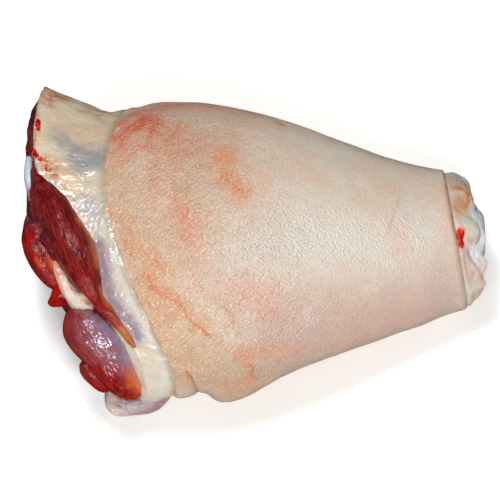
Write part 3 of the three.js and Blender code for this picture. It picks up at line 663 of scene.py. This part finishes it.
KNEE_MARKS = {  # share along the piece, degrees round it (90 faces out, 0 is to its right), radius, strength
    "long_muscle": dict(
        fat=[
            ([(0.3, 14), (0.4, 10), (0.5, 8), (0.6, 12)], 2, 1), ([(0.1, 20), (0.3, 10)], 1, 0.6),
            ([(0.9, 20), (0.95, 40), (1, 60)], 3, 1.3), ([(0.7, 10), (0.9, 0)], 1.2, 0.9)],
        membrane_and_painted_shade=[
            ([(0.5, -6), (0.56, -2), (0.64, 0)], 1, 0.8),
            ([(0.18, 172), (0.4, 175), (0.6, 172)], 0.8, 0.8)],
        blood=[([(0.66, 90), (0.74, 80), (0.86, 70)], 3.4, 0.7)], silver=[([(0.92, 60), (1, 60)], 3, 0.5)]),
    "near_muscle": dict(
        silver=[([(0.3, 44), (0.42, 36), (0.54, 26)], 2, 1.2), ([(0.66, 60), (0.84, 60)], 3, 0.8)],
        fat=[([(0.7, 30), (0.8, 24), (0.9, 30)], 2.4, 0.8), ([(0.62, 70), (0.7, 66)], 1.2, 0.5)],
        membrane_and_painted_shade=[([(0.02, 90), (0.14, 80)], 5, 0.8), ([(0.2, 150), (0.6, 160)], 1.5, 0.3)],
        blood=[([(0.5, 70), (0.66, 56), (0.8, 60), (0.94, 80)], 5, 1)]),
    "sinew": dict(
        fat=[([(0.62, 90), (0.86, 100), (1, 90)], 4.5, 1.1), ([(0.34, 80), (0.5, 84)], 1.2, 0.6)],
        silver=[([(0.7, 110), (0.97, 100)], 3, 1)],
        blood=[
            ([(0.3, 160), (0.6, 150)], 1.4, 0.8), ([(0.5, 40), (0.6, 30)], 1, 0.7),
            ([(0.44, 90), (0.48, 110)], 0.5, 0.6)]),
    "scrap": dict(
        blood=[([(0, 90), (1, 90)], 20, 1)]),
    "silver_muscle": dict(
        silver=[
            ([(0.24, 40), (0.38, 44), (0.52, 46), (0.66, 40)], 5, 1.2), ([(0.74, 40), (0.86, 60)], 4, 0.4)],
        membrane_and_painted_shade=[([(0.3, 4), (0.44, 0), (0.56, -6), (0.62, -20)], 6, 1.1)],
        fat=[([(0.68, -10), (0.75, 6), (0.82, 10)], 4, 1.2), ([(0.62, 14), (0.7, 20)], 2, 0.6)],
        blood=[
            ([(0.02, 90), (0.2, 140), (0.4, 130), (0.56, 120)], 5, 0.8),
            ([(0.6, 80), (0.68, 55), (0.76, 40), (0.84, 40), (0.9, 80)], 6, 1.5)]),
    "low_muscle": dict(
        fat=[([(0.3, 120), (0.42, 150)], 1.6, 1)], silver=[([(0.1, 60), (0.8, 60)], 4, 0.6)],
        blood=[([(0.4, 60), (0.6, 70), (0.9, 60)], 6, 0.9)]),
    "joint_pad": dict(
        blood=[([(0.86, 90), (1, 60)], 3, 0.4)], silver=[([(0.1, 90), (0.8, 90)], 3, 0.3)],
        membrane_and_painted_shade=[([(0.86, 90), (1, 90)], 3, 0.9), ([(0, 170), (0.7, 172)], 1.1, 1)]),
    "under_flap": dict(
        fat=[([(0.04, 150), (0.1, 170), (0.2, 184)], 6, 1)],
        silver=[([(0.26, 148), (0.5, 146), (0.75, 146)], 4, 1.1)],
        # Along the flap's top edge, in the gap under the collar, this mark is a painted shadow line.
        membrane_and_painted_shade=[([(0.2, 131), (0.5, 129), (0.9, 132)], 1.2, 1.3)],
        blood=[([(0.24, 184), (0.5, 178), (0.8, 172)], 2.6, 0.4)]),
}


def along_path(path, share):
    """The smooth cubic through a path's points, its ends carried on straight by one more point each."""
    longer = np.concatenate([[2 * path[0] - path[1]], path, [2 * path[-1] - path[-2]]])
    return through(longer, 1 + share * (len(path) - 1))


def belly(path, width, depth, facing, bluntness=0.5, sides=BELLY_SIDES, rows=BELLY_ROWS):
    """A long rounded body: ellipses along a smooth path, closer together at its ends, with half-axes that
    follow width and depth times a power of the sine of half a turn along it. It gives the rings of points,
    their shares along it, their angles round it, and their places with the body laid out straight."""
    share = np.linspace(0, 1, rows + 1)[1:-1]
    t = 0.5 - 0.5 * np.cos(np.pi * share)
    centre = along_path(path, t)
    tangent = along_path(path, t + 1e-4) - along_path(path, t - 1e-4)
    tangent /= np.linalg.norm(tangent, axis=-1, keepdims=True)
    up = facing(centre)
    up = up - (up * tangent).sum(-1, keepdims=True) * tangent
    up /= np.linalg.norm(up, axis=-1, keepdims=True)
    fullness = np.sin(np.pi * share) ** bluntness
    half_width = fullness * through(width, t * (len(width) - 1))
    half_depth = fullness * through(depth, t * (len(depth) - 1))
    a = np.linspace(0, 2 * np.pi, sides, endpoint=False)
    sideways, outwards = half_width[:, None] * np.cos(a), half_depth[:, None] * np.sin(a)
    rings = (centre[:, None] + sideways[..., None] * np.cross(up, tangent)[:, None]
             + outwards[..., None] * up[:, None])
    run = np.concatenate([[0], np.cumsum(np.linalg.norm(np.diff(centre, axis=0), axis=-1))])
    straight = np.stack([run[:, None] + 0 * a, sideways, outwards], -1)
    return rings, t[:, None] + 0 * a, a + 0 * t[:, None], straight


def muscle_finish(name, main, deep, membrane_and_painted_shade, fat, silver=None, **amounts):
    """Fibres along a muscle in two reds, streaks of membrane over them, paler tissue and blood where its
    masks say, and a wet coat that glints where it is crinkled. On the flap under the collar the membrane
    mask holds painted shade instead. Amounts say how much of each."""
    a = dict(sheets=0.3, strand=1.0, lump=1.0, gloss=0.07, coat=0.7, wetness=1.5) | amounts
    f = Finish(name, grain="straight", Subsurface_Weight=0.06, Subsurface_Radius=(0.003, 0.0008, 0.0005),
               Coat_Weight=a["coat"], Coat_Roughness=a["gloss"], Coat_IOR=a["wetness"],
               Specular_IOR_Level=0.1)
    strand = f.noise(14, 0.9, 0.9, detail=4, rough=0.6)
    lump = f.noise(7, 3, 3, detail=3, swirl=0.6)
    fine = f.noise(1.5, detail=3)
    colour = f.over(f.ramp(f.plus(f.times(strand, 0.6), f.times(lump, 0.4)), 0.42, 0.58), deep, main)
    colour = f.over(f.ramp(strand, 0.6, 0.72, 0, 0.3 * a["strand"]), colour, (184, 84, 72))
    colour = f.tint(colour, "silver", f.ramp(lump, 0.3, 0.6, 0.5, 0.9), silver or membrane_and_painted_shade)
    sheet = f.ridges(12, 3.5, 3.5, detail=4, swirl=1.4)
    colour = f.over(f.ramp(sheet, 0, 0.03, a["sheets"], 0), colour, membrane_and_painted_shade)
    # Membrane where the mask says; on the flap under the collar it paints a shadow line.
    colour = f.tint(colour, "membrane_and_painted_shade", f.ramp(fine, 0.25, 0.6, 0.6, 1), membrane_and_painted_shade)
    bloody = f.times(f.mask("blood"), f.ramp(f.noise(3, 2, 2, detail=4), 0.3, 0.55, 0.5, 1))
    blood = f.over(f.ramp(f.noise(2.6, detail=3), 0.4, 0.6), (118, 4, 6), (162, 16, 8))
    colour = f.over(bloody, colour, blood)
    fatty = f.times(f.mask("fat"), f.ramp(f.noise(4, 1.6, 1.6, detail=4), 0.3, 0.55, 0.5, 1))
    colour = f.over(fatty, colour, fat)
    normal = f.bumped(strand, 0.28 * a["strand"])
    normal = f.bumped(lump, 0.8 * a["lump"], normal)
    crinkled = f.maths("MULTIPLY_ADD", f.mask("silver"), 0.9, 0.1)
    normal = f.bumped(f.times(f.noise(2.6, 1.7, 1.7, detail=1.5, rough=0.4), crinkled), 1.35, normal)
    return f.done(colour, f.ramp(fine, 0.3, 0.7, 0.22, 0.4), normal)


MUSCLE_LOOKS = {
    "long_muscle": dict(
        main=(128, 30, 26), deep=(88, 8, 14), membrane_and_painted_shade=(176, 150, 158), fat=(178, 96, 46), sheets=0.04,
        coat=0.32),
    "near_muscle": dict(
        main=(130, 18, 20), deep=(84, 8, 14), membrane_and_painted_shade=(150, 136, 150), fat=(206, 98, 48), sheets=0.08,
        silver=(122, 60, 66), coat=0.45),
    "sinew": dict(
        main=(208, 174, 150), deep=(194, 132, 106), membrane_and_painted_shade=(204, 200, 194), fat=(206, 202, 190),
        sheets=0.4, strand=0.8),
    "scrap": dict(
        main=(150, 4, 6), deep=(104, 2, 6), membrane_and_painted_shade=(170, 60, 50), fat=(180, 80, 60), sheets=0.03),
    "silver_muscle": dict(
        main=(152, 58, 54), deep=(124, 36, 40), membrane_and_painted_shade=(136, 120, 146), fat=(214, 100, 38), sheets=0.12,
        silver=(142, 84, 94), strand=0.4, gloss=0.05, coat=1.0, wetness=2.1),
    "low_muscle": dict(
        main=(146, 14, 12), deep=(92, 8, 12), membrane_and_painted_shade=(150, 70, 60), fat=(206, 120, 76), sheets=0.06),
    "joint_pad": dict(
        main=(200, 214, 230), deep=(182, 194, 216), membrane_and_painted_shade=(110, 70, 96), fat=(150, 110, 124),
        silver=(220, 228, 238), sheets=0.0, strand=0.2, lump=0.3),
    "under_flap": dict(
        # The flap's dark red-brown is painted shadow along its top edge, in the gap under the collar.
        main=(196, 168, 170), deep=(186, 150, 152), membrane_and_painted_shade=(96, 34, 34), fat=(214, 202, 186),
        silver=(184, 172, 194), sheets=0.0, strand=0.4, wetness=1.9),
}


def outwards_of_leg(lean_x):
    """Facing away from the leg's middle, tilted along the leg by lean_x."""

    def facing(centre):
        away = (centre - leg_middle(centre[:, 0])) * [0, 1, 1]
        away = away / np.linalg.norm(away, axis=-1, keepdims=True)
        return away + [lean_x, 0, 0]

    return facing


def knee_piece(name, path, width, depth, relief, lean_x=0.0, facing=None, bluntness=0.5):
    path = leg_point(*np.array(path, float).T)
    look = (lambda centre: np.array(facing) + 0 * centre) if facing else outwards_of_leg(lean_x)
    rings, t, a, straight = belly(path, width, depth, look, bluntness)
    furrows, lumps = relief
    layers = [(furrows, (16, 2.2, 2.2), 50), (0.5 * furrows, (9, 1.1, 1.1), 51), (lumps, (9, 5, 5), 52)]
    raised = smooth(np.sin(np.pi * t), 0.02, 0.3) * uneven(straight, layers)

    def place(share, degrees):
        """A point on the piece laid out straight."""
        row = np.clip(np.searchsorted(t[:, 0], share), 0, len(t) - 1)
        column = np.round(np.asarray(degrees) / 360 * BELLY_SIDES).astype(int) % BELLY_SIDES
        return straight[row, column]

    marks = {mask: marked(straight, KNEE_MARKS[name].get(mask, []), place, 0.5) + 0 * t
             for mask in ("fat", "membrane_and_painted_shade", "silver", "blood")}
    of_flesh(surface(
        name, push_out(rings, raised), MEAT_CLEARANCE, muscle_finish(name, **MUSCLE_LOOKS[name]),
        path[0], path[-1], straight=straight / 1000, **marks,
    ))


for name, form in KNEE_PIECES.items():
    knee_piece(name, **form)

# ---- Hock stump
# At the thin end the cut went through the hock: a low dome of fat, gristle and tendon ends round the bone,
# orange fat above, a blue-white pad of gristle beyond a cream tendon with a round head, and a blood spot.
# The gristle is lightened nearly to white as a painted highlight, and the creases carry painted shade.

HOCK_MIDDLE, HOCK_SQUARENESS = np.array([100, 14, 28]), 4
HOCK_STEP = 1.6
HOCK_BASE_X, HOCK_POLE_X = 66, 58
HOCK_OVERHANG = 1
HOCK_UNEVEN = [(0.45, 6, 60), (0.35, 3, 61), (0.2, 1.5, 62)]
HOCK_CREASE_DEPTH = 0.6
HOCK_LUMPS = [  # angle, share of the way to the rim, breadth in degrees and in share, push along, push off
    (30, 0.88, 15, 0.2, 4, 0.4), (60, 0.85, 18, 0.22, 3.5, -0.6), (112, 0.55, 36, 0.26, 5.5, 0),
    (106, 0.84, 10, 0.12, 2.5, 0.6), (148, 0.76, 12, 0.16, 6, -0.4), (168, 0.85, 11, 0.14, 6, 0),
    (190, 0.84, 11, 0.15, 5, -2), (255, 0.75, 22, 0.2, 5, -1), (335, 0.72, 22, 0.2, 5, -1),
    (66, 0.97, 3.4, 0.06, 3, 1.2),
]
HOCK_SIDES, HOCK_SIDE_ROWS, DOME_ROWS = 280, 50, 100
HOCK_MARKS = {  # share of the way to the rim, degrees round the leg, radius, strength
    # Gristle: blue-white, lightened nearly to white in the finish as a painted highlight.
    "gristle_and_painted_highlight": [
        ([(0.5, 84), (0.6, 108), (0.58, 130)], 8, 1.2), ([(0.3, 150), (0.2, 220), (0.3, 300)], 9, 0.9),
        ([(0.62, 66), (0.7, 78)], 3, 0.7)],
    "grey": [([(0.95, 24), (0.95, 44), (0.98, 52)], 5, 1), ([(0.85, 300), (0.85, 340)], 8, 0.6)],
    "yellow": [
        ([(0.97, 58), (0.95, 72), (0.98, 86)], 5, 1.1), ([(0.78, 50), (0.82, 62)], 3, 0.6),
        ([(0.9, 240), (0.9, 280)], 7, 0.7)],
    "amber": [([(0.88, 62), (0.85, 74), (0.88, 82)], 1, 1), ([(0.96, 66), (1, 66)], 1.6, 0.8)],
    "cream": [([(0.84, 98), (0.82, 106)], 3.4, 1.2)],
    "pink": [
        ([(0.9, 112), (0.84, 116), (0.76, 112)], 1.2, 1), ([(0.7, 98), (0.74, 104)], 1.2, 0.8),
        ([(0.75, 146), (0.8, 152)], 3.5, 0.35), ([(0.84, 164), (0.86, 176)], 4, 0.6),
        ([(0.96, 120), (0.97, 150)], 3, 0.4)],
    # Creases: grooves in the relief, darkened with painted shade in the finish.
    "crease": [
        ([(0.7, 96), (0.7, 112), (0.78, 120)], 0.7, 1), ([(0.9, 126), (0.86, 150), (0.8, 166)], 0.8, 0.6),
        ([(0.6, 136), (0.66, 146), (0.72, 158)], 0.7, 0.6), ([(0.99, 120), (0.99, 160)], 0.9, 0.5)],
    "blood": [
        ([(0.99, 107), (1, 110)], 1.8, 1.6), ([(1, 110), (1, 119)], 1.3, 1.5),
        ([(0.8, 262), (0.82, 268)], 1.5, 1.2)],
}


def dome_point(share, angle):
    """A point on the hock's cut, that share of the way from its middle to its rim, and pushed along the leg
    and off it by the lumps near by."""
    share, angle = np.broadcast_arrays(np.asarray(share, float), np.asarray(angle, float))
    edge = rim_x(HOCK_RIM, angle) + HOCK_OVERHANG
    out, lift = 0, -HOCK_STEP
    for place, reach, breadth, length, push, raised in HOCK_LUMPS:
        near = smooth(share, 0, 0.2) * bell(turn(angle, place) / breadth) * bell((share - reach) / length)
        out, lift = out + push * near, lift + raised * near
    point = HOCK_MIDDLE + share[..., None] * (leg_point(edge, angle, lift) - HOCK_MIDDLE)
    point[..., 0] = HOCK_MIDDLE[0] + (edge - HOCK_MIDDLE[0]) * share ** HOCK_SQUARENESS + out
    return point


def hock_finish():
    f = Finish("hock_gristle", Subsurface_Weight=0.15, Subsurface_Radius=(0.004, 0.002, 0.0012),
               Coat_Weight=0.45, Coat_Roughness=0.12, Specular_IOR_Level=0.4)
    patchy, fine = f.noise(5, detail=4, swirl=0.8), f.noise(1.2, detail=3)
    colour = f.over(f.ramp(patchy, 0.35, 0.65), (206, 200, 186), (210, 188, 172))
    # The gristle's near-white is its own blue-white, lightened by a painted highlight.
    for mask, low, upper in (("gristle_and_painted_highlight", 0.85, (232, 238, 242)), ("grey", 0.7, (186, 186, 178)),
                             ("yellow", 0.5, (208, 160, 126)), ("amber", 0.6, (206, 140, 60)),
                             ("cream", 0.8, (214, 212, 196)), ("pink", 0.5, (220, 160, 146))):
        colour = f.tint(colour, mask, f.ramp(patchy, 0.2, 0.6, low, 1), upper)
    # Painted shade: the hock's creases darkened brown-grey.
    colour = f.tint(colour, "crease", 0.55, (140, 100, 84))
    spilt = f.times(f.mask("blood"), f.ramp(f.noise(1.6, detail=3), 0.3, 0.5, 0.6, 1.2))
    colour = f.over(f.ramp(spilt, 0.1, 0.6, 0, 0.7), colour, (238, 96, 62))
    blood = f.over(f.ramp(fine, 0.4, 0.6), (150, 4, 2), (224, 40, 16))
    colour = f.over(f.ramp(spilt, 0.6, 0.9), colour, blood)
    uneven = f.maths("MULTIPLY_ADD", f.mask("gristle_and_painted_highlight"), -0.7, 1.0)
    normal = f.bumped(f.times(f.noise(3, detail=4, rough=0.6), uneven), 0.7)
    normal = f.bumped(f.times(f.noise(0.9, detail=3), uneven), 0.25, normal)
    return f.done(colour, f.ramp(fine, 0.3, 0.7, 0.26, 0.42), normal)


def hock_stump():
    angle = np.linspace(0, 360, HOCK_SIDES, endpoint=False)
    edge = rim_x(HOCK_RIM, angle) + HOCK_OVERHANG
    side_x = HOCK_BASE_X + (edge - HOCK_BASE_X) * np.linspace(0, 0.99, HOCK_SIDE_ROWS)[:, None]
    share = np.linspace(1, 0.02, DOME_ROWS)[:, None]
    rings = np.concatenate([leg_point(side_x, angle, -HOCK_STEP), dome_point(share, angle)])
    masks = {mask: marked(rings, marks, dome_point, 0.5) for mask, marks in HOCK_MARKS.items()}
    on_dome = np.concatenate([0 * side_x, 1 + 0 * share * angle])
    relief = on_dome * uneven(rings, HOCK_UNEVEN) - HOCK_CREASE_DEPTH * masks["crease"]
    of_flesh(surface(
        "hock_stump", push_out(rings, relief), MEAT_CLEARANCE, hock_finish(), leg_middle(HOCK_POLE_X),
        rings[-1].mean(0), **masks,
    ))


hock_stump()

# ---- Shin bone
# One bone runs through the leg. Its sawn and jointed ends show at both cuts: hard, smooth and blue-white,
# with a groove between the two lobes of its knee end. It fills its tunnel in the meat.

BONE = dict(
    path=[(-104.5, 16, 50), (-92, 15.5, 49.5), (-62, 12, 46), (0, 9, 39), (60, 10, 31), (88, 13.5, 29),
          (105, 14, 29)],
    width=[26, 27, 17, 11.5, 11, 16, 16.5], depth=[21, 22, 15, 10.5, 10, 14, 14.5],
)
BONE_BLUNTNESS, BONE_SIDES, BONE_ROWS = 0.28, 128, 150
KNEE_END_GROOVE = {"depth": 3, "width": 6, "length": 9}
BONE_UNEVEN = [(0.25, 8, 80)]


def bone_finish():
    f = Finish("bone", Subsurface_Weight=0.2, Subsurface_Radius=(0.003, 0.002, 0.0016), Coat_Weight=0.7,
               Coat_Roughness=0.1, Specular_IOR_Level=0.5)
    patchy, fine = f.noise(8, detail=4), f.noise(1.1, detail=3)
    colour = f.over(f.ramp(patchy, 0.35, 0.65), (206, 212, 218), (196, 190, 186))
    colour = f.over(f.ramp(f.noise(4, detail=5, swirl=1), 0.6, 0.75, 0, 0.5), colour, (196, 140, 128))
    colour = f.over(f.ramp(fine, 0.6, 0.8, 0, 0.3), colour, (232, 234, 232))
    normal = f.bumped(f.noise(4, detail=4), 0.5)
    normal = f.bumped(fine, 0.15, normal)
    return f.done(colour, f.ramp(fine, 0.3, 0.7, 0.2, 0.36), normal)


def shin_bone():
    path = np.array(BONE["path"], float)
    rings, *_ = belly(path, BONE["width"], BONE["depth"], lambda centre: np.array([0, 0, 1]) + 0 * centre,
                      BONE_BLUNTNESS, BONE_SIDES, BONE_ROWS)
    groove = KNEE_END_GROOVE["depth"] * bell((rings[..., 1] - path[0, 1]) / KNEE_END_GROOVE["width"])
    rings[..., 0] += groove * bell((rings[..., 0] - path[0, 0]) / KNEE_END_GROOVE["length"])
    rings = push_out(rings, uneven(rings, BONE_UNEVEN))
    piece = surface("shin_bone_whole", rings, MEAT_CLEARANCE, bone_finish(),
                    path[0] + [KNEE_END_GROOVE["depth"], 0, 0], path[-1])
    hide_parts("shin_bone")


shin_bone()

# ---- Floor, lights and camera
# A plain pale floor, a broad soft lamp overhead and a weaker one in front, two small low lamps that make the
# wet parts glint, and an even sky that glossy surfaces don't mirror. The camera looks along +Y, 62 degrees
# down, through a long lens.

FLOOR_REACH, FLOOR_GLOW = 2.5, 0.18
PICTURE_MM = 227.5
CAMERA_DISTANCE = 3.0
ELEVATION = np.radians(62)
TARGET = np.array([-0.0022, -0.0038, 0.04257])


def floor():
    points = FLOOR_REACH * np.array([(-1, -1, 0), (1, -1, 0), (1, 1, 0), (-1, 1, 0)])
    mesh = bpy.data.meshes.new("floor")
    mesh.from_pydata(points.tolist(), [], [(0, 1, 2, 3)])
    f = Finish("floor", Specular_IOR_Level=0.1)
    f.shader.inputs["Base Color"].default_value = paint(253, 253, 252)
    f.shader.inputs["Roughness"].default_value = 0.9
    f.shader.inputs["Emission Color"].default_value = (1, 1, 1, 1)
    f.shader.inputs["Emission Strength"].default_value = FLOOR_GLOW
    mesh.materials.append(f.material)
    piece = bpy.data.objects.new("floor", mesh)
    bpy.context.scene.collection.objects.link(piece)
    piece.visible_glossy = False


def looking(thing, place, target):
    """Puts a thing at a place and turns its own -Z towards the target."""
    away = Vector(np.subtract(place, target).tolist())
    thing.location = place
    thing.rotation_euler = away.to_track_quat("Z", "Y").to_euler()
    bpy.context.scene.collection.objects.link(thing)


def lamp(name, place, size, power, tint):
    light = bpy.data.lights.new(name, "AREA")
    light.shape, light.size, light.energy, light.color = "SQUARE", size, power, tint
    thing = bpy.data.objects.new(name, light)
    thing.visible_camera = False
    looking(thing, place, (0, 0, 0.03))


floor()
lamp("key_lamp", (-0.22, 0.16, 1.25), 0.36, 9.0, (1, 0.985, 0.965))
lamp("front_lamp", (0.12, -0.85, 1.05), 0.26, 6.6, (1, 0.995, 0.985))
lamp("low_lamp", (-0.5, -0.85, 0.5), 0.12, 1.6, (1, 1, 1))
lamp("near_lamp", (0.03, -1.05, 0.3), 0.12, 1.6, (1, 1, 1))
sky = bpy.data.worlds.new("sky")
sky.use_nodes = True
sky.node_tree.nodes["Background"].inputs["Color"].default_value = (0.97, 0.985, 1, 1)
sky.node_tree.nodes["Background"].inputs["Strength"].default_value = 0.27
sky.cycles_visibility.glossy = False
bpy.context.scene.world = sky

lens = bpy.data.cameras.new("camera")
lens.sensor_width = 36
lens.lens = 36 * CAMERA_DISTANCE * 1000 / PICTURE_MM
camera = bpy.data.objects.new("camera", lens)
looking(camera, (TARGET + CAMERA_DISTANCE * np.array([0, -np.cos(ELEVATION), np.sin(ELEVATION)])).tolist(),
        TARGET.tolist())
bpy.context.scene.camera = camera
bpy.context.scene.view_settings.view_transform = "Standard"
